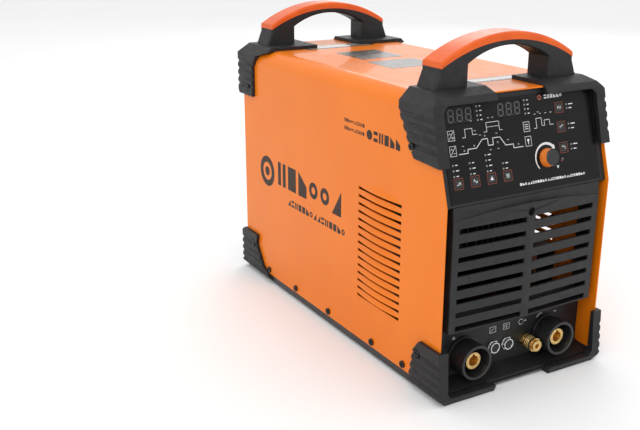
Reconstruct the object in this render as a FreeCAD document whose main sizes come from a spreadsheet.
"""TIG welding power source: steel case with moulded corner guards, two carry handles,
a sloping control panel, an intake grille, a recessed connector panel and the inverter inside.

Frame: millimetres, +Z up, the front faces -Y, the origin is at the bottom centre of the
whole machine, on the surface that it stands on.
"""
import FreeCAD
import Part
import Sketcher
import math
import os
import re

V = FreeCAD.Vector

# ---------------------------------------------------------------------------------------
# Driving dimensions. Each name becomes an alias in the spreadsheet.
# ---------------------------------------------------------------------------------------
SIZES = {
    # case
    "case_half": 120,            # half the width over the steel cover
    "case_front": 250,           # centre to the front edge of the cover
    "case_back": 250,            # centre to the rear edge of the cover
    "case_top": 348,
    "case_bottom": 4,            # underside of the base pan
    "case_corner": 20,           # bend radius along the two top edges
    "wall": 1.5,                 # sheet thickness of cover and pan
    "cover_bottom": 13,          # lower edge of the cover
    "bend_height": 234.6,        # where the front starts to lean back
    "panel_tilt": 16.6,          # lean of the control panel from vertical, degrees
    "fit_gap": 0.3,              # gap between parts that slide together
    # louvres in both sides
    "louvre_count": 15,
    "louvre_front": 169,
    "louvre_rear": 73,
    "louvre_first": 217,         # height of the topmost lip
    "louvre_pitch": 10.1,
    "louvre_slot": 4.2,
    "louvre_end": 1.5,           # solid metal between a slot and the end of its louvre
    "hood_depth": 4,
    "hood_height": 8.6,
    "hood_bend": 290,            # plan radius of a louvre's lip
    # screws
    "screw_shank": 2,
    "screw_head": 4.4,
    "screw_head_height": 2.2,
    "screw_hole": 2.1,
    "cover_screw_height": 20,
    "driver_width": 1.2,
    "driver_depth": 1.3,
    "bolt_shank": 3,
    "bolt_head": 5,
    "bolt_head_height": 4,
    "bolt_reach": 14,
    # corner guards
    "guard_half": 125,
    "guard_top": 353,
    "rib_groove": 3.6,
    "rib_groove_depth": 1.7,
    "rib_pitch": 11,
    "top_groove_first": 293,
    "low_groove_first": 15,
    "guard_recess": 5.4,
    "guard_recess_depth": 2,
    # handles
    "handle_half_depth": 18,
    "front_handle_at": -181,
    "rear_handle_at": 220.5,
    "handle_foot": 353,
    "leg_inner": 58,
    "grip_half": 95,
    "grip_foot": 374,
    "grip_apex": 409.5,
    "grip_bend": 176,
    "spine_apex": 400.5,
    "spine_bend": 189,
    "arch_apex": 394.5,
    "arch_bend": 107,
    "grip_edge": 3.5,
    "leg_edge": 3,
    "bolt_from_centre": 77,
    "bolt_spread": 10,
    # front moulding
    "frame_half": 118.2,
    "recess_face": 222,
    "air_half": 100,
    "air_low": 96,
    "air_high": 208,
    "panel_inset": 4,            # panel face behind the cover's front edge
    "panel_thick": 3,
    "overlay_thick": 0.8,
    "overlay_half": 110,
    "overlay_low": 3,
    "overlay_high": 111,
    # grille
    "grille_half": 108,
    "grille_low": 84,
    "grille_wall": 3,
    "grille_back": 228.2,
    "bulge_back": 240,           # the curved top of the grille's face stops short of the moulding
    "slot_inner": 6,
    "slot_outer": 99,
    "slot_first": 86,
    "slot_pitch": 16.6,
    "slot_rows": 8,
    "slot_height": 6,
    "grille_screw_height": 214,
    # control panel fittings, in the panel's own axes
    "button_side": 9.6,
    "button_hole": 10.3,
    "button_back": -9,
    "button_face": -3,
    "window_wide": 36,
    "window_high": 18.5,
    "window_gap": 0.2,
    "window_low": 88.5,
    "window_left": -102,
    "window_right": -33,
    "module_back": -12.2,
    "module_face": -3.8,
    "led_radius": 1.1,
    "led_proud": 0.4,
    "knob_across": 31,
    "knob_up": 37,
    "knob_radius": 11,
    "knob_top_radius": 9.6,
    "knob_low": -2.8,
    "knob_high": 6.6,
    "knob_cap_height": 1.4,
    "shaft_radius": 3,
    "shaft_back": -16,
    "bush_radius": 4.5,
    "bush_hole": 4.6,
    "bush_bore": 3.05,
    "bush_face": -3.4,
    "encoder_side": 12.5,
    "encoder_front": -7.4,
    "encoder_back": -12.2,
    "board_front": -12.4,
    "board_back": -14,
    "board_half": 106,
    "board_low": 10,
    "board_high": 110,
    "tact_side": 6,
    "tact_face": -10,
    "post_radius": 3,
    "post_across": 100,
    "post_low": 15,
    "post_high": 82,
    # weld sockets
    "socket_across": 65,
    "socket_height": 39,
    "socket_flange": 23,
    "socket_flange_thick": 3,
    "shroud_radius": 21.5,
    "shroud_bore": 18.2,
    "shroud_rim": 250,
    "shroud_floor": 230,
    "shroud_spigot": 14.8,
    "shroud_back": 216,
    "panel_socket_hole": 15,
    "insert_radius": 10.4,
    "insert_face": 243,
    "insert_back": 200,
    "insert_bore": 6.5,
    "bore_depth": 30,
    "key_width": 3,
    "key_reach": 8.4,
    "stud_radius": 5,
    "stud_back": 187,
    # remote sockets
    "remote_left": -20,
    "remote_right": 1,
    "remote_height": 38,
    "remote_radius": 7,
    "remote_bore": 5.6,
    "remote_face": 229,
    "remote_nut": 8.6,
    "remote_nut_thick": 3.2,
    "remote_tail": 6,
    "remote_tail_back": 208,
    "remote_hole": 6.1,
    "remote_insert_face": 227.8,
    "remote_pin": 0.7,
    "remote_pin_face": 228.8,
    "remote_pin_ring": 3.3,
    # gas outlet coupler
    "gas_across": 30,
    "gas_height": 36,
    "gas_hex": 8.6,
    "gas_hex_face": 227.5,
    "gas_tube": 6,
    "gas_collar": 7,
    "gas_collar_back": 243.5,
    "gas_face": 247,
    "gas_bore": 3,
    "gas_sleeve": 8.6,
    "gas_sleeve_bore": 6.05,
    "gas_sleeve_front": 243.2,
    "gas_sleeve_back": 231,
    "gas_tail_back": 203,
    "gas_hole": 6.1,
    # rear panel and fittings
    "rear_face": 238,
    "rear_thick": 2,
    "rear_low": 6,
    "fan_height": 200,
    "fan_side": 120,
    "fan_depth": 38,
    "fan_opening": 57.5,
    "fan_hub": 20,
    "fan_tip": 55.5,
    "blade_count": 7,
    "blade_chord": 26,
    "blade_thick": 2,
    "blade_pitch": 42,
    "fan_axle": 2,
    "fan_axle_hole": 2.05,
    "strut_wide": 6,
    "strut_thick": 4,
    "guard_wire": 1.3,
    "guard_ring_first": 13,
    "guard_ring_pitch": 12.5,
    "guard_ring_count": 4,
    "guard_spoke": 60,
    "switch_height": 312,
    "switch_half": 27,
    "switch_rise": 20,
    "switch_face": 243,
    "switch_back": 206,
    "lever_half": 20,
    "lever_radius": 5,
    "lever_pivot": 242,
    "lever_reach": 14,
    "lever_thick": 5,
    "lever_well": 12,
    "lever_lean": 24,
    "gland_across": 66,
    "gland_height": 62,
    "gland_hex": 15,
    "gland_hex_face": 244,
    "gland_dome": 12,
    "gland_face": 256,
    "gland_bore": 7,
    "gland_tail": 11,
    "gland_tail_back": 226,
    "inlet_across": -66,
    "inlet_height": 62,
    "inlet_hex": 8,
    "inlet_hex_face": 244,
    "inlet_stem": 4,
    "inlet_face": 256,
    "inlet_bore": 2.5,
    "inlet_tail": 6,
    "inlet_tail_back": 224,
    "earth_height": 44,
    "earth_stud": 4,
    "earth_nut": 7.5,
    "earth_nut_thick": 6,
    "earth_face": 254,
    "earth_back": 228,
    "earth_washer": 9,
    "earth_washer_thick": 1.6,
    # inverter inside the case
    "shelf_half": 112,
    "shelf_top": 129.5,
    "shelf_front": -180,
    "shelf_back": 190,
    "pan_floor": 5.5,
    "pan_notch_at": -218.5,
    "sink_inner": 6,
    "sink_outer": 104,
    "sink_front": -150,
    "sink_back": 90,
    "sink_base": 8,
    "sink_top": 190,
    "fin_count": 11,
    "fin_thick": 2.4,
    "module_wide": 34,
    "module_long": 60,
    "module_high": 14,
    "board_deck": 216,
    "deck_thick": 1.8,
    "deck_half": 104,
    "deck_front": -145,
    "deck_rear": 85,
    "can_radius": 17.5,
    "can_height": 52,
    "can_count": 4,
    "can_pitch": 40,
    "can_row": 62,
    "core_wide": 96,
    "core_long": 60,
    "core_high": 100,
    "core_at": 95,
    "core_window_wide": 24,
    "core_window_high": 64,
    "core_limb": 24,
    "winding_out": 17,
    "winding_high": 62,
    "reactor_radius": 42,
    "reactor_hole": 16,
    "reactor_high": 40,
    "reactor_at": -95,
    "reactor_across": 52,
    "valve_half": 15,
    "valve_front": 203,
    "valve_back": 165,
    "valve_low": 20,
    "valve_high": 50,
    "valve_coil": 11,
    "valve_coil_top": 82,
    "hose_radius": 4,
    "bar_half": 11,
    "bar_front": 187,
    "bar_thick": 3,
    "bar_low": 26,
    "bar_high": 127.9,
}

# Outlines, corner by corner; both coordinates of each corner go into the spreadsheet.
OUTLINES = {
    # side view (y, z)
    "front_top_side": [(-163, 353), (-163, 327), (-182, 296), (-194, 279), (-241.5, 277),
                       (-224.5, 342), (-220, 347.5), (-202, 353)],
    "front_low_side": [(-215, 66), (-204, 52), (-197, 14), (-197, 0), (-256, 0), (-259, 7), (-255, 66)],
    "rear_top_side": [(175, 353), (175, 347), (199, 340), (212, 322), (212, 279), (256, 279),
                      (259, 284), (259, 340), (247, 353)],
    "rear_low_side": [(207, 66), (210, 50), (191, 22), (164, 8), (164, 0), (255, 0), (259, 6),
                      (259, 61), (252, 66)],
    "front_frame_side": [(-247, 6), (-247, 9), (-222, 15), (-222, 84), (-228, 84), (-228, 221.5),
                         (-246.15, 233.47), (-212.5, 346.3), (-209.4, 346.3), (-241.5, 238.6),
                         (-225, 226.5), (-225, 87), (-219, 87), (-219, 6)],
    "grille_side": [(-247.6, 84), (-247.6, 215), (-246.4, 233), (-228.2, 221), (-228.2, 84)],
    # front view (x, z)
    "top_guard_front": [(-36, 353), (-111, 353), (-125, 339), (-125, 270), (-111, 270), (-111, 334),
                        (-105, 340), (-36, 340)],
    "low_guard_front": [(-125, 70), (-125, 10), (-115, 0), (-42, 0), (-42, 9), (-107, 9), (-112, 14),
                        (-112, 70)],
    "base_pan_front": [(-120, 4), (120, 4), (120, 13), (118.2, 13), (118.2, 34), (116.7, 34),
                       (116.7, 5.5), (-116.7, 5.5), (-116.7, 34), (-118.2, 34), (-118.2, 13),
                       (-120, 13)],
    "shelf_front": [(-112, 5.5), (-110.5, 5.5), (-110.5, 128), (110.5, 128), (110.5, 5.5), (112, 5.5),
                    (112, 129.5), (-112, 129.5)],
    "handle_front": [(-103, 353), (103, 353), (96, 371), (96, 412), (-96, 412), (-96, 371)],
    "grille_front": [(-108, 84), (108, 84), (108, 218), (54, 223), (0, 225), (-54, 223), (-108, 218)],
    # plan (x, y)
    "grille_plan": [(-108, -248), (0, -252), (108, -248), (108, -228.2), (-108, -228.2)],
    "grille_inside": [(-105, -244.9), (0, -248.8), (105, -244.9), (105, -220), (-105, -220)],
}

# Where repeated pieces sit.
GUARD_SCREWS = {                 # (y, z) on each side
    "front_top": (-188, 291),
    "front_low": (-212, 50),
    "rear_top": (228, 290),
    "rear_low": (221, 50),
}
COVER_SCREWS_Y = [174, 90, -2.4, -110.5, -179]
BUTTONS = {                      # (x, height up the panel)
    "button_mode": (-97, 24.5),
    "button_waveform": (-74.3, 24.5),
    "button_pulse": (-51.3, 24.5),
    "button_trigger": (-28.6, 24.5),
    "button_select": (58.7, 92),
    "button_store": (58.7, 69.6),
    "button_cooling": (58.7, 45.6),
}
LEDS = [
    (-60.5, 105), (-60.5, 100), (-60.5, 95), (-60.5, 90),
    (7.5, 105), (7.5, 100), (7.5, 95), (7.5, 90),
    (-102, 33), (-102, 39), (-102, 45),
    (-79.3, 33), (-79.3, 39), (-79.3, 45),
    (-56.3, 33), (-56.3, 39), (-56.3, 45), (-56.3, 51),
    (-33.6, 33), (-33.6, 39),
    (70, 90), (70, 94.5), (70, 66.6), (70, 71.8), (70, 42.6), (70, 48),
    (-84, 59), (-70, 63), (-54, 72), (-37, 63), (-8, 57.5), (54.5, 33),
]

doc = FreeCAD.newDocument("tig_welder")
sheet = doc.addObject("Spreadsheet::Sheet", "Sheet")
parts = {}


def fill_sheet():
    """Write every size and every outline corner into its own cell with an alias."""
    rows = [(name, value) for name, value in SIZES.items()]
    for outline, corners in OUTLINES.items():
        for number, (across, up) in enumerate(corners, start=1):
            rows.append(("%s_u%d_size" % (outline, number), across))
            rows.append(("%s_v%d_size" % (outline, number), up))
    for row, (name, value) in enumerate(rows, start=1):
        sheet.set("A%d" % row, name)
        sheet.set("B%d" % row, str(value))
        sheet.setAlias("B%d" % row, name)
    doc.recompute()


def size(name):
    """Value of one cell, for Python-side decisions such as counts and edge choices."""
    return float(getattr(sheet, name))


def linked(expression):
    """Turn 'case_half - wall' into an expression that reads the spreadsheet."""
    if not isinstance(expression, str):
        return str(expression)
    return re.sub(r"[a-z][a-z0-9_]+", lambda found: "Sheet." + found.group(0)
                  if found.group(0) in SIZES else found.group(0), expression)


def bind(thing, **expressions):
    for prop, expression in expressions.items():
        thing.setExpression(prop.replace("__", "."), linked(expression))


def move_to(thing, x, y, z):
    bind(thing, Placement__Base__x=x, Placement__Base__y=y, Placement__Base__z=z)


def keep(name, thing):
    """Mark an object as a finished sub-part of the machine."""
    thing.Label = name
    parts[name] = thing
    return thing


def box(name, xs, ys, zs):
    block = doc.addObject("Part::Box", name)
    bind(block, Length="(%s) - (%s)" % (xs[1], xs[0]), Width="(%s) - (%s)" % (ys[1], ys[0]),
         Height="(%s) - (%s)" % (zs[1], zs[0]))
    move_to(block, xs[0], ys[0], zs[0])
    return block


TURNS = {"x": (V(0, 1, 0), 90), "y": (V(1, 0, 0), -90), "z": (V(0, 0, 1), 0)}


def place_along(thing, axis, start, centre):
    """Stand a primitive on the given axis with its base at start."""
    turn_axis, angle = TURNS[axis]
    thing.Placement = FreeCAD.Placement(V(0, 0, 0), FreeCAD.Rotation(turn_axis, angle))
    order = {"x": (start, centre[0], centre[1]), "y": (centre[0], start, centre[1]),
             "z": (centre[0], centre[1], start)}
    move_to(thing, *order[axis])
    return thing


def cylinder(name, radius, axis, span, centre):
    rod = doc.addObject("Part::Cylinder", name)
    bind(rod, Radius=radius, Height="(%s) - (%s)" % (span[1], span[0]))
    return place_along(rod, axis, span[0], centre)


def cone(name, radii, axis, span, centre):
    taper = doc.addObject("Part::Cone", name)
    bind(taper, Radius1=radii[0], Radius2=radii[1], Height="(%s) - (%s)" % (span[1], span[0]))
    return place_along(taper, axis, span[0], centre)


def hexagon(name, radius, axis, span, centre):
    nut = doc.addObject("Part::Prism", name)
    nut.Polygon = 6
    bind(nut, Circumradius=radius, Height="(%s) - (%s)" % (span[1], span[0]))
    return place_along(nut, axis, span[0], centre)


def fuse(name, *members):
    if len(members) == 1:
        return members[0]
    joined = doc.addObject("Part::MultiFuse", name)
    joined.Shapes = list(members)
    joined.Refine = True
    return joined


def group(name, members):
    """Separate solids that share one node."""
    bundle = doc.addObject("Part::Compound", name)
    bundle.Links = list(members)
    return bundle


def cut(name, base, *tools):
    result = doc.addObject("Part::Cut", name)
    result.Base = base
    result.Tool = tools[0] if len(tools) == 1 else group(name + "_tools", tools)
    result.Refine = True
    return result


def common(name, first, second):
    result = doc.addObject("Part::MultiCommon", name)
    result.Shapes = [first, second]
    result.Refine = True
    return result


def mirrored(name, source):
    """The other side's twin, mirrored in the machine's middle plane."""
    twin = doc.addObject("Part::Mirroring", name)
    twin.Source = source
    twin.Base = V(0, 0, 0)
    twin.Normal = V(1, 0, 0)
    return twin


def rounded(name, base, radius_name, wanted):
    """Round the edges of base for which wanted(edge) holds."""
    doc.recompute()
    radius = size(radius_name)
    chosen = [number for number, edge in enumerate(base.Shape.Edges, start=1) if wanted(edge)]
    if not chosen:
        raise RuntimeError("no edges chosen for " + name)
    result = doc.addObject("Part::Fillet", name)
    result.Base = base
    result.Edges = [(number, radius, radius) for number in chosen]
    return result


PLANES = {"plan": "XY_Plane", "front": "XZ_Plane", "side": "YZ_Plane"}


def prism(name, plane, outline, span):
    """Body with one fully dimensioned outline, padded between two positions on its axis."""
    body = doc.addObject("PartDesign::Body", name)
    origin = [item for item in body.Origin.OriginFeatures if item.Role == PLANES[plane]][0]
    sketch = body.newObject("Sketcher::SketchObject", name + "_outline")
    sketch.AttachmentSupport = [(origin, "")]
    sketch.MapMode = "FlatFace"
    corners = OUTLINES[outline]
    count = len(corners)
    for number in range(count):
        start = corners[number]
        end = corners[(number + 1) % count]
        sketch.addGeometry(Part.LineSegment(V(start[0], start[1], 0), V(end[0], end[1], 0)), False)
    for number in range(count):
        sketch.addConstraint(Sketcher.Constraint("Coincident", number, 2, (number + 1) % count, 1))
    for number, (across, up) in enumerate(corners):
        for kind, value, letter, line in (("DistanceX", across, "u", -2), ("DistanceY", up, "v", -1)):
            if value == 0:
                sketch.addConstraint(Sketcher.Constraint("PointOnObject", number, 1, line))
                continue
            index = sketch.addConstraint(Sketcher.Constraint(kind, -1, 1, number, 1, value))
            alias = "%s_%s%d_size" % (outline, letter, number + 1)
            sketch.setExpression("Constraints[%d]" % index, "Sheet." + alias)
    pad = body.newObject("PartDesign::Pad", name + "_pad")
    pad.Profile = sketch
    low, high = span
    bind(pad, Length="(%s) - (%s)" % (high, low))
    # the front plane's normal points to -Y, so its pad starts at the far end
    bind(sketch, AttachmentOffset__Base__z="-(%s)" % high if plane == "front" else low)
    return body


def on_panel(thing):
    """Carry a piece from the control panel's own axes (x, up the slope, outwards) to the machine."""
    thing.Placement = FreeCAD.Placement(V(0, 0, 0), FreeCAD.Rotation(V(1, 0, 0), 0))
    bind(thing, Placement__Rotation__Angle="90 - panel_tilt")
    move_to(thing, 0, "-case_front", "bend_height")
    return thing


def panel_box(name, centre, across, upwards, span):
    x, up = centre
    return box(name, ("%s - (%s) / 2" % (x, across), "%s + (%s) / 2" % (x, across)),
               ("%s - (%s) / 2" % (up, upwards), "%s + (%s) / 2" % (up, upwards)), span)


def along_y(edge):
    direction = edge.Vertexes[-1].Point - edge.Vertexes[0].Point
    return direction.Length > 1 and abs(direction.y) > 0.999 * direction.Length


# ---------------------------------------------------------------------------------------
# Steel case
# ---------------------------------------------------------------------------------------
def top_corner_edge(edge):
    top = max(vertex.Point.z for vertex in edge.Vertexes)
    low = min(vertex.Point.z for vertex in edge.Vertexes)
    return along_y(edge) and low > size("case_top") - 10 and top > size("case_top") - 10


def case_block():
    """Outer volume of the case, its two long top edges rounded and its front leaning back."""
    blank = box("case_blank", ("-case_half", "case_half"), ("-case_front", "case_back"),
                ("case_bottom", "case_top"))
    smooth = rounded("case_rounded", blank, "case_corner", top_corner_edge)
    ahead = box("case_ahead", ("-2 * case_half", "2 * case_half"), ("-20", "300"), ("0", "60"))
    return cut("case_block", smooth, on_panel(group("case_lean", [ahead])))


def side_holes(name, positions, radius, reach):
    """Holes through both sides at (y, z) positions."""
    return [cylinder("%s_%d" % (name, number), radius, "x", ("-" + reach, reach), position)
            for number, position in enumerate(positions)]


def handle_bolt_positions():
    for y_alias in ("front_handle_at", "rear_handle_at"):
        for side in ("-", ""):
            for step in ("- bolt_spread", "+ bolt_spread"):
                yield "%s(bolt_from_centre %s)" % (side, step), y_alias


def build_case():
    block = case_block()
    inside_blank = box("case_inside_blank", ("wall - case_half", "case_half - wall"),
                       ("-2 * case_front", "2 * case_back"), ("-case_bottom", "case_top - wall"))
    inner_corner = rounded("case_inside", inside_blank, "case_corner", top_corner_edge)
    skirt = box("cover_skirt", ("-2 * case_half", "2 * case_half"), ("-2 * case_front", "2 * case_back"),
                ("-cover_bottom", "cover_bottom"))
    shell = cut("cover_shell", block, fuse("cover_inside", inner_corner, skirt))

    # Each louvre is pressed outwards: its lip is an arc in plan, and it fades into the wall above.
    cones = []
    slots = []
    for row in range(int(size("louvre_count"))):
        lip = "louvre_first - %d * louvre_pitch" % row
        cones.append(cone("louvre_press", ("hood_bend", "hood_bend - hood_depth"), "z",
                          (lip, lip + " + hood_height"),
                          ("hood_bend - hood_depth - case_half", "-(louvre_front + louvre_rear) / 2")))
        slots.append(box("louvre_slot", ("-2 * case_half", "2 * case_half"),
                         ("-louvre_front + louvre_end", "-louvre_rear - louvre_end"),
                         ("%s - louvre_slot" % lip, lip)))
    outside = box("louvre_side", ("-case_half - 10", "0.1 - case_half"), ("-louvre_front", "-louvre_rear"),
                  ("0", "case_top"))
    left_hoods = common("louvre_hoods_left", group("louvre_presses", cones), outside)
    hoods = [left_hoods, mirrored("louvre_hoods_right", left_hoods)]
    holes = side_holes("cover_guard_hole", GUARD_SCREWS.values(), "screw_hole", "case_half * 2")
    holes += side_holes("cover_screw_hole", [(y, "cover_screw_height") for y in COVER_SCREWS_Y],
                        "screw_hole", "case_half * 2")
    holes += [cylinder("cover_bolt_hole", "bolt_shank + 0.1", "z", ("case_top - 10", "case_top + 10"), at)
              for at in handle_bolt_positions()]
    keep("case_cover", cut("case_cover", fuse("cover_hooded", shell, *hoods), *(slots + holes)))

    pan = prism("base_pan_body", "front", "base_pan_front", ("-case_front + 1", "case_back - 1"))
    pan_holes = side_holes("pan_screw_hole", [(y, "cover_screw_height") for y in COVER_SCREWS_Y],
                           "screw_hole", "case_half * 2")
    # the flanges stop short of the front moulding and the rear panel
    clear = ("-frame_half", "frame_half")
    above = ("pan_floor", "2 * cover_screw_height")
    notches = [box("pan_notch_front", clear, ("-case_front", "pan_notch_at"), above),
               box("pan_notch_rear", clear, ("rear_face - rear_thick - fit_gap", "case_back"), above)]
    keep("base_pan", cut("base_pan", pan, *(pan_holes + notches)))
    return block


# ---------------------------------------------------------------------------------------
# Corner guards and their screws
# ---------------------------------------------------------------------------------------
def corner_guard(name, side_outline, front_outline, block, screw, first_groove, grooves):
    """Left-hand guard: the overlap of its side and front views, less the case inside it."""
    side_view = prism(name + "_side_view", "side", side_outline, ("-guard_half - 5", "0"))
    front_view = prism(name + "_front_view", "front", front_outline, ("-case_front - 20", "case_back + 20"))
    blank = common(name + "_blank", side_view, front_view)
    reach = ("-case_front - 20", "case_back + 20")
    tools = [block]
    for row in range(grooves):
        height = "%s + %d * rib_pitch" % (first_groove, row)
        middle = "-(guard_half + rib_groove - rib_groove_depth)"
        tools.append(cylinder(name + "_groove", "rib_groove", "y", reach, (middle, height)))
    tools.append(cylinder(name + "_recess", "guard_recess", "x",
                          ("-guard_half - 10", "guard_recess_depth - guard_half"), screw))
    tools.append(cylinder(name + "_hole", "screw_hole", "x", ("-guard_half - 10", "-case_half + 10"), screw))
    for x, y_alias in handle_bolt_positions():
        tools.append(cylinder(name + "_bolt_hole", "bolt_shank + 0.1", "z",
                              ("case_top - 10", "case_top + 10"), (x, y_alias)))
    return cut(name, blank, fuse(name + "_tools", *tools))


def build_guards(block):
    rows = [
        ("front_top", "front_top_side", "top_guard_front", "top_groove_first", 4),
        ("front_low", "front_low_side", "low_guard_front", "low_groove_first", 4),
        ("rear_top", "rear_top_side", "top_guard_front", "top_groove_first", 4),
        ("rear_low", "rear_low_side", "low_guard_front", "low_groove_first", 4),
    ]
    for corner, side_outline, front_outline, first_groove, grooves in rows:
        left = corner_guard("guard_%s_left" % corner, side_outline, front_outline, block,
                            GUARD_SCREWS[corner], first_groove, grooves)
        keep("guard_%s_left" % corner, left)
        keep("guard_%s_right" % corner, mirrored("guard_%s_right" % corner, left))


def side_screw(name, head_at, tip, centre):
    """Cross-head screw entering the left side along X."""
    head = cylinder(name + "_head", "screw_head", "x", (head_at + " - screw_head_height", head_at), centre)
    shank = cylinder(name + "_shank", "screw_shank", "x", (head_at, tip), centre)
    outside = head_at + " - screw_head_height"
    floor = outside + " + driver_depth"
    flat = box(name + "_drive_a", (outside, floor),
               ("%s - driver_width / 2" % centre[0], "%s + driver_width / 2" % centre[0]),
               ("%s - screw_head / 1.7" % centre[1], "%s + screw_head / 1.7" % centre[1]))
    tall = box(name + "_drive_b", (outside, floor),
               ("%s - screw_head / 1.7" % centre[0], "%s + screw_head / 1.7" % centre[0]),
               ("%s - driver_width / 2" % centre[1], "%s + driver_width / 2" % centre[1]))
    return cut(name, fuse(name + "_solid", head, shank), fuse(name + "_drive", flat, tall))


def build_screws():
    guard_screws = []
    for corner, centre in GUARD_SCREWS.items():
        left = side_screw("guard_screw_" + corner, "(guard_recess_depth - guard_half)",
                          "(16 - case_half)", centre)
        guard_screws += [left, mirrored("guard_screw_twin_" + corner, left)]
    keep("guard_screws", group("guard_screws", guard_screws))

    case_screws = []
    for number, y in enumerate(COVER_SCREWS_Y):
        left = side_screw("cover_screw_%d" % number, "(-case_half)", "(6.5 - case_half)",
                          (y, "cover_screw_height"))
        case_screws += [left, mirrored("cover_screw_twin_%d" % number, left)]
    case_screws.append(build_grille_screw())
    keep("case_screws", group("case_screws", case_screws))

    bolts = []
    for x, y_alias in handle_bolt_positions():
        head = hexagon("handle_bolt_head", "bolt_head", "z",
                       ("case_top - wall - bolt_head_height", "case_top - wall"), (x, y_alias))
        shank = cylinder("handle_bolt_shank", "bolt_shank", "z",
                         ("case_top - wall", "handle_foot + bolt_reach - 1"), (x, y_alias))
        bolts.append(fuse("handle_bolt", head, shank))
    keep("handle_screws", group("handle_screws", bolts))


# ---------------------------------------------------------------------------------------
# Carry handles
# ---------------------------------------------------------------------------------------
def arch(name, apex, bend, y_alias):
    """Full disc whose top is one of the handle's arcs."""
    return cylinder(name, bend, "y", (y_alias + " - handle_half_depth", y_alias + " + handle_half_depth"),
                    ("0", "%s - %s" % (apex, bend)))


def long_edge(edge):
    """Edges that run round the front and back faces of a handle."""
    return not along_y(edge)


def build_handle(place, y_alias):
    depth = (y_alias + " - handle_half_depth", y_alias + " + handle_half_depth")
    name = place + "_handle"
    outer = common(name + "_outer",
                   prism(name + "_slab", "front", "handle_front", depth),
                   arch(name + "_spine_disc", "spine_apex", "spine_bend", y_alias))
    opening = common(name + "_opening",
                     box(name + "_gap", ("-leg_inner", "leg_inner"), depth, ("handle_foot", "grip_apex")),
                     arch(name + "_arch_disc", "arch_apex", "arch_bend", y_alias))
    hollow = cut(name + "_arched", outer, opening)

    def leg_edge(edge):
        low = min(vertex.Point.z for vertex in edge.Vertexes)
        high = max(vertex.Point.z for vertex in edge.Vertexes)
        if along_y(edge):
            return False
        on_foot = high < size("handle_foot") + 0.5
        on_spine = abs(edge.CenterOfMass.x) < 1 and edge.CenterOfMass.z > size("arch_apex") - 5 \
            and edge.Length > 150
        return not on_foot and not on_spine and low > 0

    smooth = rounded(name + "_rounded", hollow, "leg_edge", leg_edge)
    holes = [cylinder(name + "_bolt_hole", "bolt_shank", "z", ("handle_foot", "handle_foot + bolt_reach"), at)
             for at in handle_bolt_positions() if at[1] == y_alias]
    keep(name + "_body", cut(name + "_body", smooth, *holes))

    cap = common(name + "_cap",
                 box(name + "_cap_slab", ("-grip_half", "grip_half"), depth, ("grip_foot - 10", "grip_apex + 5")),
                 arch(name + "_grip_disc", "grip_apex", "grip_bend", y_alias))
    under = arch(name + "_cap_under", "spine_apex", "spine_bend", y_alias)
    grip = cut(name + "_grip_blank", cap, under)

    def grip_edge(edge):
        return not along_y(edge) and edge.Length > 30 and edge.CenterOfMass.z > size("spine_apex") - 8 \
            and edge.BoundBox.ZMax > size("spine_apex") + 3

    keep(name + "_grip", rounded(name + "_grip", grip, "grip_edge", grip_edge))


# ---------------------------------------------------------------------------------------
# Front moulding, control panel and grille
# ---------------------------------------------------------------------------------------
def window_centres():
    for left in ("window_left", "window_right"):
        yield "(%s + window_wide / 2)" % left, "(window_low + window_high / 2)"


def panel_cutters(name, button_hole, window_extra, span):
    """Cutters for everything that looks out of the control panel, in the panel's axes."""
    cutters = [panel_box(name + "_button", at, button_hole, button_hole, span) for at in BUTTONS.values()]
    cutters += [panel_box(name + "_window", at, "window_wide + 2 * " + window_extra,
                          "window_high + 2 * " + window_extra, span) for at in window_centres()]
    cutters.append(cylinder(name + "_bush", "bush_hole", "z", span, ("knob_across", "knob_up")))
    return cutters


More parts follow.
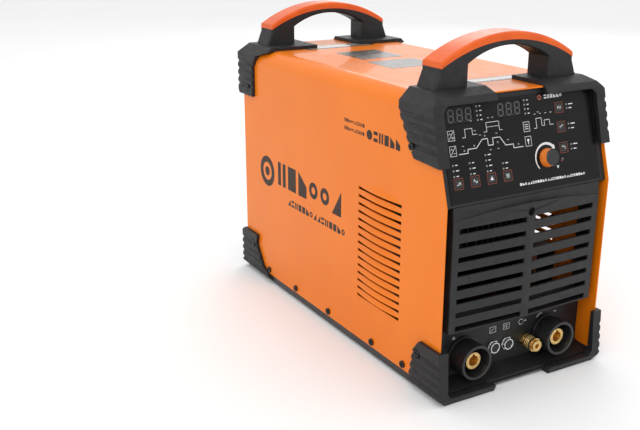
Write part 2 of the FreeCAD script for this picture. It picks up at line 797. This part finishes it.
def build_front():
    section = prism("front_frame_body", "side", "front_frame_side", ("-frame_half", "frame_half"))
    limits = box("front_frame_limits", ("-frame_half", "frame_half"), ("-case_front", "-200"),
                 ("0", "case_top - wall - fit_gap"))
    shell = common("front_frame_shell", section,
                   rounded("front_frame_rounded", limits, "case_corner", top_corner_edge))
    through = on_panel(group("frame_panel_cutters",
                             panel_cutters("frame", "button_hole", "window_gap", ("-12", "5"))))
    air = box("frame_air", ("-air_half", "air_half"), ("-240", "-200"), ("air_low", "air_high"))
    reach = ("-240", "-200")
    ports = [cylinder("frame_socket_hole", "panel_socket_hole", "y", reach, (side + "socket_across", "socket_height"))
             for side in ("-", "")]
    ports += [cylinder("frame_remote_hole", "remote_hole", "y", reach, (x, "remote_height"))
              for x in ("remote_left", "remote_right")]
    ports.append(cylinder("frame_gas_hole", "gas_hole", "y", reach, ("gas_across", "gas_height")))
    screw_hole = cylinder("frame_screw_hole", "screw_hole", "y", reach, (0, "grille_screw_height"))
    keep("front_frame", cut("front_frame", shell, through, air, screw_hole, *ports))

    plate = box("overlay_plate", ("-overlay_half", "overlay_half"), ("overlay_low", "overlay_high"),
                ("-panel_inset", "overlay_thick - panel_inset"))
    overlay = cut("overlay_cut", plate,
                  *panel_cutters("overlay", "button_hole - 0.1", "window_gap", ("-12", "5")))
    keep("control_overlay", on_panel(overlay))

    leds = [cylinder("led", "led_radius", "z",
                     ("overlay_thick - panel_inset", "overlay_thick - panel_inset + led_proud"), at)
            for at in LEDS]
    keep("indicator_leds", on_panel(group("indicator_leds", leds)))

    for name, at in BUTTONS.items():
        cap = panel_box(name + "_cap", at, "button_side", "button_side", ("button_back", "button_face"))
        keep(name, on_panel(group(name, [cap])))

    modules = [panel_box("display_block", at, "window_wide", "window_high", ("module_back", "module_face"))
               for at in window_centres()]
    keep("display_modules", on_panel(group("display_modules", modules)))

    board = box("board_sheet", ("-board_half", "board_half"), ("board_low", "board_high"),
                ("board_back", "board_front"))
    shaft_hole = cylinder("board_shaft_hole", "shaft_radius + 1", "z", ("-30", "0"), ("knob_across", "knob_up"))
    tacts = [panel_box("tact_switch", at, "tact_side", "tact_side", ("board_front", "tact_face"))
             for at in BUTTONS.values()]
    posts = [cylinder("board_post", "post_radius", "z", ("board_front", "-panel_inset - panel_thick"),
                      (side + "post_across", height))
             for side in ("-", "") for height in ("post_low", "post_high")]
    keep("control_board", on_panel(cut("control_board", fuse("board_loaded", board, *(tacts + posts)),
                                       shaft_hole)))

    build_knob()
    build_grille()


def build_knob():
    at = ("knob_across", "knob_up")
    skirt = cone("knob_skirt", ("knob_radius", "knob_top_radius"), "z", ("knob_low", "knob_high"), at)
    flutes = []
    for number in range(18):
        angle = math.radians(20 * number)
        centre = ("knob_across + (knob_radius + 0.3) * %.5f" % math.cos(angle),
                  "knob_up + (knob_radius + 0.3) * %.5f" % math.sin(angle))
        flutes.append(cylinder("knob_flute", "0.7", "z", ("knob_low - 1", "knob_high - 2"), centre))
    shaft = cylinder("knob_shaft", "shaft_radius", "z", ("shaft_back", "knob_low + 1"), at)
    keep("knob_body", on_panel(fuse("knob_body", cut("knob_fluted", skirt, *flutes), shaft)))
    face = cone("knob_face", ("knob_top_radius", "knob_top_radius - 1.2"), "z",
                ("knob_high", "knob_high + knob_cap_height"), at)
    keep("knob_cap", on_panel(group("knob_cap", [face])))

    block = panel_box("encoder_block", at, "encoder_side", "encoder_side", ("encoder_back", "encoder_front"))
    bush = cylinder("encoder_bush", "bush_radius", "z", ("encoder_front", "bush_face"), at)
    bore = cylinder("encoder_bore", "bush_bore", "z", ("encoder_back - 5", "bush_face + 5"), at)
    keep("encoder_body", on_panel(cut("encoder_body", fuse("encoder_solid", block, bush), bore)))


def build_grille():
    plan = prism("grille_plan_body", "plan", "grille_plan", ("grille_low", "bend_height"))
    side = prism("grille_side_body", "side", "grille_side", ("-grille_half", "grille_half"))
    inside = prism("grille_inside_body", "plan", "grille_inside",
                   ("grille_low + grille_wall", "air_high + grille_wall"))
    front = prism("grille_front_body", "front", "grille_front", ("-case_front - 20", "-bulge_back"))
    bulge = common("grille_bulge", plan, front)
    shell = cut("grille_shell", fuse("grille_solid", bulge, side), inside)
    slots = []
    for row in range(int(size("slot_rows"))):
        low = "slot_first + %d * slot_pitch" % row
        for xs in (("-slot_outer", "-slot_inner"), ("slot_inner", "slot_outer")):
            slots.append(box("grille_slot", xs, ("-260", "-232"), (low, low + " + slot_height")))
    centre = (0, "grille_screw_height")
    hole = cylinder("grille_screw_hole", "screw_hole", "y", ("-260", "-220"), centre)
    counterbore = cylinder("grille_counterbore", "screw_head + 0.4", "y", ("-260", "-246"), centre)
    keep("front_grille", cut("front_grille", shell, fuse("grille_bore", hole, counterbore), *slots))


def build_grille_screw():
    centre = (0, "grille_screw_height")
    head = cylinder("grille_screw_head", "screw_head", "y", ("-248", "-246"), centre)
    shank = cylinder("grille_screw_shank", "screw_shank", "y", ("-246", "-221"), centre)
    flat = box("grille_drive_a", ("-driver_width / 2", "driver_width / 2"), ("-249", "-247"),
               ("grille_screw_height - 2.6", "grille_screw_height + 2.6"))
    tall = box("grille_drive_b", ("-2.6", "2.6"), ("-249", "-247"),
               ("grille_screw_height - driver_width / 2", "grille_screw_height + driver_width / 2"))
    return cut("grille_screw", fuse("grille_screw_solid", head, shank), fuse("grille_drive", flat, tall))


# ---------------------------------------------------------------------------------------
# Connectors on the recessed panel
# ---------------------------------------------------------------------------------------
def build_weld_socket(name, side):
    at = (side + "socket_across", "socket_height")
    flange = cylinder(name + "_flange", "socket_flange", "y",
                      ("-recess_face - socket_flange_thick", "-recess_face"), at)
    tube = cylinder(name + "_tube", "shroud_radius", "y", ("-shroud_rim", "-recess_face"), at)
    spigot = cylinder(name + "_spigot", "shroud_spigot", "y", ("-recess_face", "-shroud_back"), at)
    dish = cone(name + "_dish", ("shroud_bore", "shroud_bore - 2.5"), "y", ("-shroud_rim", "-shroud_floor"), at)
    core = cylinder(name + "_core", "insert_radius", "y", ("-shroud_rim", "-shroud_back + 1"), at)
    keep(name + "_shroud", cut(name + "_shroud", fuse(name + "_outer", flange, tube, spigot),
                               fuse(name + "_hollow", dish, core)))
    barrel = cylinder(name + "_barrel", "insert_radius", "y", ("-insert_face", "-insert_back"), at)
    stud = cylinder(name + "_stud", "stud_radius", "y", ("-insert_back", "-stud_back"), at)
    bore = cylinder(name + "_bore", "insert_bore", "y", ("-insert_face", "-insert_face + bore_depth"), at)
    key = box(name + "_key", (at[0] + " - key_width / 2", at[0] + " + key_width / 2"),
              ("-insert_face", "-insert_face + bore_depth / 2"), ("socket_height", "socket_height + key_reach"))
    keep(name + "_insert", cut(name + "_insert", fuse(name + "_brass", barrel, stud),
                               fuse(name + "_keyed_bore", bore, key)))


def build_remote_sockets():
    shells = []
    inserts = []
    for number, x in enumerate(("remote_left", "remote_right")):
        at = (x, "remote_height")
        name = "remote_%d" % number
        barrel = cylinder(name + "_barrel", "remote_radius", "y", ("-remote_face", "-recess_face"), at)
        nut = hexagon(name + "_nut", "remote_nut", "y", ("-recess_face - remote_nut_thick", "-recess_face"), at)
        tail = cylinder(name + "_tail", "remote_tail", "y", ("-recess_face", "-remote_tail_back"), at)
        bore = cylinder(name + "_bore", "remote_bore", "y", ("-remote_face", "-recess_face"), at)
        inner = cylinder(name + "_inner", "remote_tail - 1", "y", ("-recess_face", "-remote_tail_back"), at)
        shells.append(cut(name + "_shell", fuse(name + "_solid", barrel, nut, tail),
                          fuse(name + "_hollow", bore, inner)))
        disc = cylinder(name + "_disc", "remote_bore", "y", ("-remote_insert_face", "-recess_face - 0.5"), at)
        pins = []
        for pin in range(5):
            angle = math.radians(72 * pin + 90)
            centre = ("%s + remote_pin_ring * %.5f" % (x, math.cos(angle)),
                      "remote_height + remote_pin_ring * %.5f" % math.sin(angle))
            pins.append(cylinder(name + "_pin", "remote_pin", "y",
                                 ("-remote_pin_face", "-remote_insert_face + 1"), centre))
        inserts.append(fuse(name + "_insert", disc, *pins))
    keep("remote_socket_shells", group("remote_socket_shells", shells))
    keep("remote_socket_inserts", group("remote_socket_inserts", inserts))


def build_gas_coupler():
    at = ("gas_across", "gas_height")
    base = hexagon("gas_base", "gas_hex", "y", ("-gas_hex_face", "-recess_face"), at)
    tube = cylinder("gas_tube_solid", "gas_tube", "y", ("-gas_face", "-recess_face"), at)
    collar = cylinder("gas_collar_solid", "gas_collar", "y", ("-gas_face", "-gas_collar_back"), at)
    tail = cylinder("gas_tail", "gas_tube", "y", ("-recess_face", "-gas_tail_back"), at)
    bore = cylinder("gas_bore_cut", "gas_bore", "y", ("-gas_face", "-gas_tail_back"), at)
    keep("gas_coupler_body", cut("gas_coupler_body", fuse("gas_solid", base, tube, collar, tail), bore))

    sleeve = cylinder("gas_sleeve_solid", "gas_sleeve", "y", ("-gas_sleeve_front", "-gas_sleeve_back"), at)
    sleeve_bore = cylinder("gas_sleeve_cut", "gas_sleeve_bore", "y", ("-gas_face", "-recess_face"), at)
    grooves = []
    for number in range(3):
        place = "-gas_sleeve_back - 3 - %d * 2.6" % number
        ring = doc.addObject("Part::Torus", "gas_sleeve_groove")
        bind(ring, Radius1="gas_sleeve + 0.3", Radius2="0.8")
        place_along(ring, "y", place, at)
        grooves.append(ring)
    keep("gas_coupler_sleeve", cut("gas_coupler_sleeve", sleeve, sleeve_bore, *grooves))


# ---------------------------------------------------------------------------------------
# Rear panel, fan, mains switch and inlets
# ---------------------------------------------------------------------------------------
def build_rear():
    reach = ("rear_face - 30", "rear_face + 30")
    blank = box("rear_blank", ("-frame_half", "frame_half"), ("rear_face - rear_thick", "rear_face"),
                ("rear_low", "case_top - wall - fit_gap"))
    smooth = rounded("rear_rounded", blank, "case_corner",
                     lambda edge: along_y(edge) and edge.CenterOfMass.z > size("case_top") - 10)
    holes = [
        cylinder("rear_fan_hole", "fan_opening", "y", reach, (0, "fan_height")),
        box("rear_switch_hole", ("-switch_half + 3", "switch_half - 3"), reach,
            ("switch_height - switch_rise + 3", "switch_height + switch_rise - 3")),
        cylinder("rear_gland_hole", "gland_tail", "y", reach, ("gland_across", "gland_height")),
        cylinder("rear_inlet_hole", "inlet_tail", "y", reach, ("inlet_across", "inlet_height")),
        cylinder("rear_earth_hole", "earth_stud", "y", reach, (0, "earth_height")),
    ]
    keep("rear_panel", cut("rear_panel", smooth, *holes))

    build_fan()
    build_switch()

    at = ("gland_across", "gland_height")
    gland = fuse("gland_solid",
                 hexagon("gland_nut", "gland_hex", "y", ("rear_face", "gland_hex_face"), at),
                 cone("gland_dome_solid", ("gland_dome", "gland_dome - 3"), "y",
                      ("gland_hex_face", "gland_face"), at),
                 cylinder("gland_thread", "gland_tail", "y", ("gland_tail_back", "rear_face"), at))
    keep("mains_gland", cut("mains_gland", gland, cylinder("gland_bore_cut", "gland_bore", "y", (0, 300), at)))

    at = ("inlet_across", "inlet_height")
    barbs = [cone("inlet_barb", ("inlet_stem + 1.2", "inlet_stem - 0.4"), "y",
                  ("inlet_hex_face + 2 + %d * 3.3" % number, "inlet_hex_face + 5 + %d * 3.3" % number), at)
             for number in range(3)]
    inlet = fuse("inlet_solid",
                 hexagon("inlet_nut", "inlet_hex", "y", ("rear_face", "inlet_hex_face"), at),
                 cylinder("inlet_stem_solid", "inlet_stem", "y", ("inlet_hex_face", "inlet_face"), at),
                 cylinder("inlet_tail_solid", "inlet_tail", "y", ("inlet_tail_back", "rear_face"), at), *barbs)
    keep("gas_inlet", cut("gas_inlet", inlet, cylinder("inlet_bore_cut", "inlet_bore", "y", (0, 300), at)))

    at = (0, "earth_height")
    keep("earth_stud", fuse(
        "earth_stud",
        cylinder("earth_bolt", "earth_stud", "y", ("earth_back", "earth_face"), at),
        cylinder("earth_washer_solid", "earth_washer", "y", ("rear_face", "rear_face + earth_washer_thick"), at),
        hexagon("earth_nut_solid", "earth_nut", "y",
                ("rear_face + earth_washer_thick", "rear_face + earth_washer_thick + earth_nut_thick"), at),
        hexagon("earth_back_nut", "earth_nut", "y",
                ("rear_face - rear_thick - 5", "rear_face - rear_thick"), at)))


def build_fan():
    back = "rear_face - rear_thick"
    front = back + " - fan_depth"
    centre = (0, "fan_height")
    block = box("fan_block", ("-fan_side / 2", "fan_side / 2"), (front, back),
                ("fan_height - fan_side / 2", "fan_height + fan_side / 2"))
    throat = cylinder("fan_throat", "fan_opening", "y", (front + " - 1", back + " + 1"), centre)
    struts = []
    for number in range(3):
        arm = doc.addObject("Part::Box", "fan_strut")
        bind(arm, Length="fan_opening + 1", Width="strut_thick", Height="strut_wide")
        arm.Placement = FreeCAD.Placement(V(0, 0, 0), FreeCAD.Rotation(V(0, 1, 0), 120 * number + 90))
        move_to(arm, 0, front, "fan_height")
        struts.append(arm)
    seat = cylinder("fan_seat", "fan_hub", "y", (front, front + " + strut_thick"), centre)
    axle_hole = cylinder("fan_axle_hole_cut", "fan_axle_hole", "y", (front + " - 1", back), centre)
    ring = cut("fan_ring", block, throat)
    keep("fan_frame", cut("fan_frame", fuse("fan_static", ring, seat, *struts), axle_hole))

    hub = cylinder("fan_hub_solid", "fan_hub", "y", (front + " + strut_thick + 1", back + " - 3"), centre)
    axle = cylinder("fan_axle_solid", "fan_axle", "y", (front, front + " + strut_thick + 2"), centre)
    blades = []
    for number in range(int(size("blade_count"))):
        blade = doc.addObject("Part::Box", "fan_blade")
        bind(blade, Length="fan_tip - fan_hub + 4", Width="blade_thick", Height="blade_chord")
        turn = FreeCAD.Rotation(V(0, 1, 0), 360.0 * number / size("blade_count"))
        pitch = FreeCAD.Rotation(V(1, 0, 0), size("blade_pitch"))
        reach = turn.multVec(V(size("fan_hub") - 4, 0, 0))
        half = turn.multiply(pitch).multVec(V(0, size("blade_thick") / 2, size("blade_chord") / 2))
        middle = size("rear_face") - size("rear_thick") - size("fan_depth") / 2 + 1
        blade.Placement = FreeCAD.Placement(V(reach.x - half.x, middle - half.y,
                                              size("fan_height") + reach.z - half.z), turn.multiply(pitch))
        blades.append(blade)
    envelope = cylinder("fan_envelope", "fan_tip", "y", (front + " + strut_thick + 1", back + " - 2"), centre)
    keep("fan_rotor", fuse("fan_rotor", common("fan_swept", fuse("fan_wheel", hub, *blades), envelope), axle))

    wires = []
    for number in range(int(size("guard_ring_count"))):
        ring = doc.addObject("Part::Torus", "fan_wire")
        bind(ring, Radius1="guard_ring_first + %d * guard_ring_pitch" % number, Radius2="guard_wire")
        place_along(ring, "y", "rear_face + 3 * guard_wire", centre)
        wires.append(ring)
    half = "guard_spoke"
    wires.append(cylinder("fan_spoke_x", "guard_wire", "x", ("-" + half, half),
                          ("rear_face + 1.9 * guard_wire", "fan_height")))
    wires.append(cylinder("fan_spoke_z", "guard_wire", "z", ("fan_height - " + half, "fan_height + " + half),
                          (0, "rear_face + 1.9 * guard_wire")))
    keep("fan_guard", fuse("fan_guard", *wires))


def build_switch():
    plate = box("switch_plate", ("-switch_half", "switch_half"), ("rear_face", "switch_face"),
                ("switch_height - switch_rise", "switch_height + switch_rise"))
    rear = box("switch_rear", ("-switch_half + 3.2", "switch_half - 3.2"), ("switch_back", "rear_face"),
               ("switch_height - switch_rise + 3.2", "switch_height + switch_rise - 3.2"))
    well = box("switch_well", ("-lever_half - 0.6", "lever_half + 0.6"), ("lever_pivot - lever_radius - 3", "300"),
               ("switch_height - lever_well", "switch_height + lever_well"))
    pin_hole = cylinder("switch_pin_hole", "fan_axle_hole", "x", ("-lever_half - 3", "lever_half + 3"),
                        ("lever_pivot - 2", "switch_height"))
    keep("power_switch_body", cut("power_switch_body", fuse("switch_solid", plate, rear),
                                  fuse("switch_hollow", well, pin_hole)))
    centre = ("lever_pivot - 2", "switch_height")
    drum = cylinder("lever_drum", "lever_radius", "x", ("-lever_half", "lever_half"), centre)
    pin = cylinder("lever_pin", "fan_axle", "x", ("-lever_half - 2.4", "lever_half + 2.4"), centre)
    paddle = doc.addObject("Part::Box", "lever_paddle")
    bind(paddle, Length="2 * lever_half", Width="lever_reach", Height="lever_thick")
    lean = FreeCAD.Rotation(V(1, 0, 0), size("lever_lean"))
    drop = lean.multVec(V(0, 0, size("lever_thick") / 2))
    paddle.Placement = FreeCAD.Placement(V(-size("lever_half"), size("lever_pivot") - 2 - drop.y,
                                           size("switch_height") - drop.z), lean)
    keep("power_switch_lever", fuse("power_switch_lever", drum, pin, paddle))


# ---------------------------------------------------------------------------------------
# Inverter, transformer, gas line
# ---------------------------------------------------------------------------------------
def finned_sink(name, side):
    """Aluminium block with fins standing up along the machine."""
    xs = ("-sink_outer", "-sink_inner") if side == "-" else ("sink_inner", "sink_outer")
    base = box(name + "_base", xs, ("sink_front", "sink_back"), ("shelf_top", "shelf_top + sink_base"))
    count = int(size("fin_count"))
    fins = []
    for number in range(count):
        low = "%s + %d * (sink_outer - sink_inner - fin_thick) / %d" % (xs[0], number, count - 1)
        fins.append(box(name + "_fin", (low, low + " + fin_thick"), ("sink_front", "sink_back"),
                        ("shelf_top", "sink_top - module_high")))
    return fuse(name, base, *fins)


def build_inverter():
    shelf = prism("shelf_body", "front", "shelf_front", ("shelf_front", "shelf_back"))
    opening = box("shelf_window", ("-60", "60"), ("100", "180"), ("120", "140"))
    keep("chassis_shelf", cut("chassis_shelf", shelf, opening))
    keep("heatsinks", group("heatsinks", [finned_sink("sink_left", "-"), finned_sink("sink_right", "+")]))

    deck = box("deck_sheet", ("-deck_half", "deck_half"), ("deck_front", "deck_rear"),
               ("board_deck", "board_deck + deck_thick"))
    modules = []
    for side in (-1, 1):
        for y in (-110, -30, 50):
            modules.append(box("power_module", ("%d - module_wide / 2" % (55 * side), "%d + module_wide / 2" % (55 * side)),
                               ("%d - module_long / 2" % y, "%d + module_long / 2" % y),
                               ("sink_top - module_high", "board_deck")))
    keep("power_board", fuse("power_board", deck, *modules))
    cans = [cylinder("capacitor_can", "can_radius", "z",
                     ("board_deck + deck_thick", "board_deck + deck_thick + can_height"),
                     ("%d * can_row / 2" % side, "-60 + %d * can_pitch" % number))
            for side in (-1, 1) for number in range(int(size("can_count")) // 2)]
    keep("capacitors", group("capacitors", cans))

    core = box("core_block", ("-core_wide / 2", "core_wide / 2"), ("core_at - core_long / 2", "core_at + core_long / 2"),
               ("pan_floor", "pan_floor + core_high"))
    low = "pan_floor + (core_high - core_window_high) / 2"
    windows = [box("core_window", ("%s - core_window_wide / 2" % x, "%s + core_window_wide / 2" % x),
                   ("core_at - core_long", "core_at + core_long"), (low, low + " + core_window_high"))
               for x in ("-(core_limb / 2 + core_window_wide / 2)", "(core_limb / 2 + core_window_wide / 2)")]
    keep("transformer_core", cut("transformer_core", core, *windows))
    winding = box("winding_block", ("-core_limb / 2 - winding_out", "core_limb / 2 + winding_out"),
                  ("core_at - core_long / 2 - winding_out", "core_at + core_long / 2 + winding_out"),
                  (low + " + 1", low + " + 1 + winding_high"))
    limb = box("winding_limb", ("-core_limb / 2", "core_limb / 2"),
               ("core_at - core_long / 2", "core_at + core_long / 2"), ("0", "core_high * 2"))
    keep("transformer_winding", cut("transformer_winding", winding, limb))

    at = ("reactor_across", "reactor_at")
    ring = cylinder("reactor_ring", "reactor_radius", "z", ("pan_floor", "pan_floor + reactor_high"), at)
    hole = cylinder("reactor_eye", "reactor_hole", "z", ("0", "100"), at)
    keep("output_reactor", cut("output_reactor", ring, hole))

    bars = [box("bus_bar", (side + "socket_across - bar_half", side + "socket_across + bar_half"),
                ("-bar_front", "-bar_front + bar_thick"), ("bar_low", "bar_high")) for side in ("-", "")]
    keep("bus_bars", group("bus_bars", bars))


def hose_path(points):
    """Straight runs joined by tangent arcs, each arc as large as its two runs allow."""
    edges = []
    start = points[0]
    for before, corner, after in zip(points, points[1:], points[2:]):
        into = (corner - before).normalize()
        out = (after - corner).normalize()
        run = min(corner.distanceToPoint(before), corner.distanceToPoint(after))
        setback = 0.45 * run
        turn = into.getAngle(out)
        radius = setback / math.tan(turn / 2)
        print("hose bend radius %.1f" % radius)
        first = corner - into * setback
        last = corner + out * setback
        inward = (out - into).normalize()
        middle = corner + inward * (math.hypot(radius, setback) - radius)
        edges.append(Part.LineSegment(start, first).toShape())
        edges.append(Part.Arc(first, middle, last).toShape())
        start = last
    edges.append(Part.LineSegment(start, points[-1]).toShape())
    return Part.Wire(edges)


def build_gas_line():
    block = box("valve_block", ("gas_across - valve_half", "gas_across + valve_half"),
                ("-valve_front", "-valve_back"), ("valve_low", "valve_high"))
    coil = cylinder("valve_coil_solid", "valve_coil", "z", ("valve_high", "valve_coil_top"),
                    ("gas_across", "-(valve_front + valve_back) / 2"))
    keep("gas_valve", fuse("gas_valve", block, coil))

    # A swept tube along a routed centre line has no primitive, so its shape is set directly.
    port_y = -(size("valve_front") + size("valve_back")) / 2
    points = [V(size("inlet_across"), size("inlet_tail_back"), size("inlet_height")),
              V(size("inlet_across"), 195, size("inlet_height")),
              V(-90, 150, 50), V(-92, 60, 44), V(-90, -40, 42), V(-82, -120, 40),
              V(-50, port_y, 36), V(size("gas_across") - size("valve_half"), port_y, 35)]
    path = hose_path(points)
    ring = Part.Wire([Part.Circle(points[0], V(0, 1, 0), size("hose_radius")).toShape()])
    hose = doc.addObject("Part::Feature", "gas_hose")
    hose.Shape = path.makePipeShell([ring], True, False)
    hose.Placement = FreeCAD.Placement(V(0, 0, 0), FreeCAD.Rotation())
    expected = math.pi * size("hose_radius") ** 2 * path.Length
    print("hose volume ratio %.4f" % (hose.Shape.Volume / expected))
    keep("gas_hose", hose)


# ---------------------------------------------------------------------------------------
def check_model():
    for thing in doc.Objects:
        if "Invalid" in thing.State or "Error" in thing.State:
            raise RuntimeError("%s did not compute: %s" % (thing.Label, thing.State))
    for name, thing in parts.items():
        if thing.Shape.isNull() or not thing.Shape.isValid() or not thing.Shape.Solids:
            raise RuntimeError(name + " has no valid shape")


def export_parts():
    os.makedirs("parts", exist_ok=True)
    for name, thing in parts.items():
        thing.Shape.exportStep("parts/%s.step" % name)


fill_sheet()
case = build_case()
build_guards(case)
build_screws()
build_handle("front", "front_handle_at")
build_handle("rear", "rear_handle_at")
build_front()
build_weld_socket("positive_socket", "-")
build_weld_socket("negative_socket", "")
build_remote_sockets()
build_gas_coupler()
build_rear()
build_inverter()
build_gas_line()
doc.recompute()
check_model()
export_parts()
print("%d sub-parts written" % len(parts))
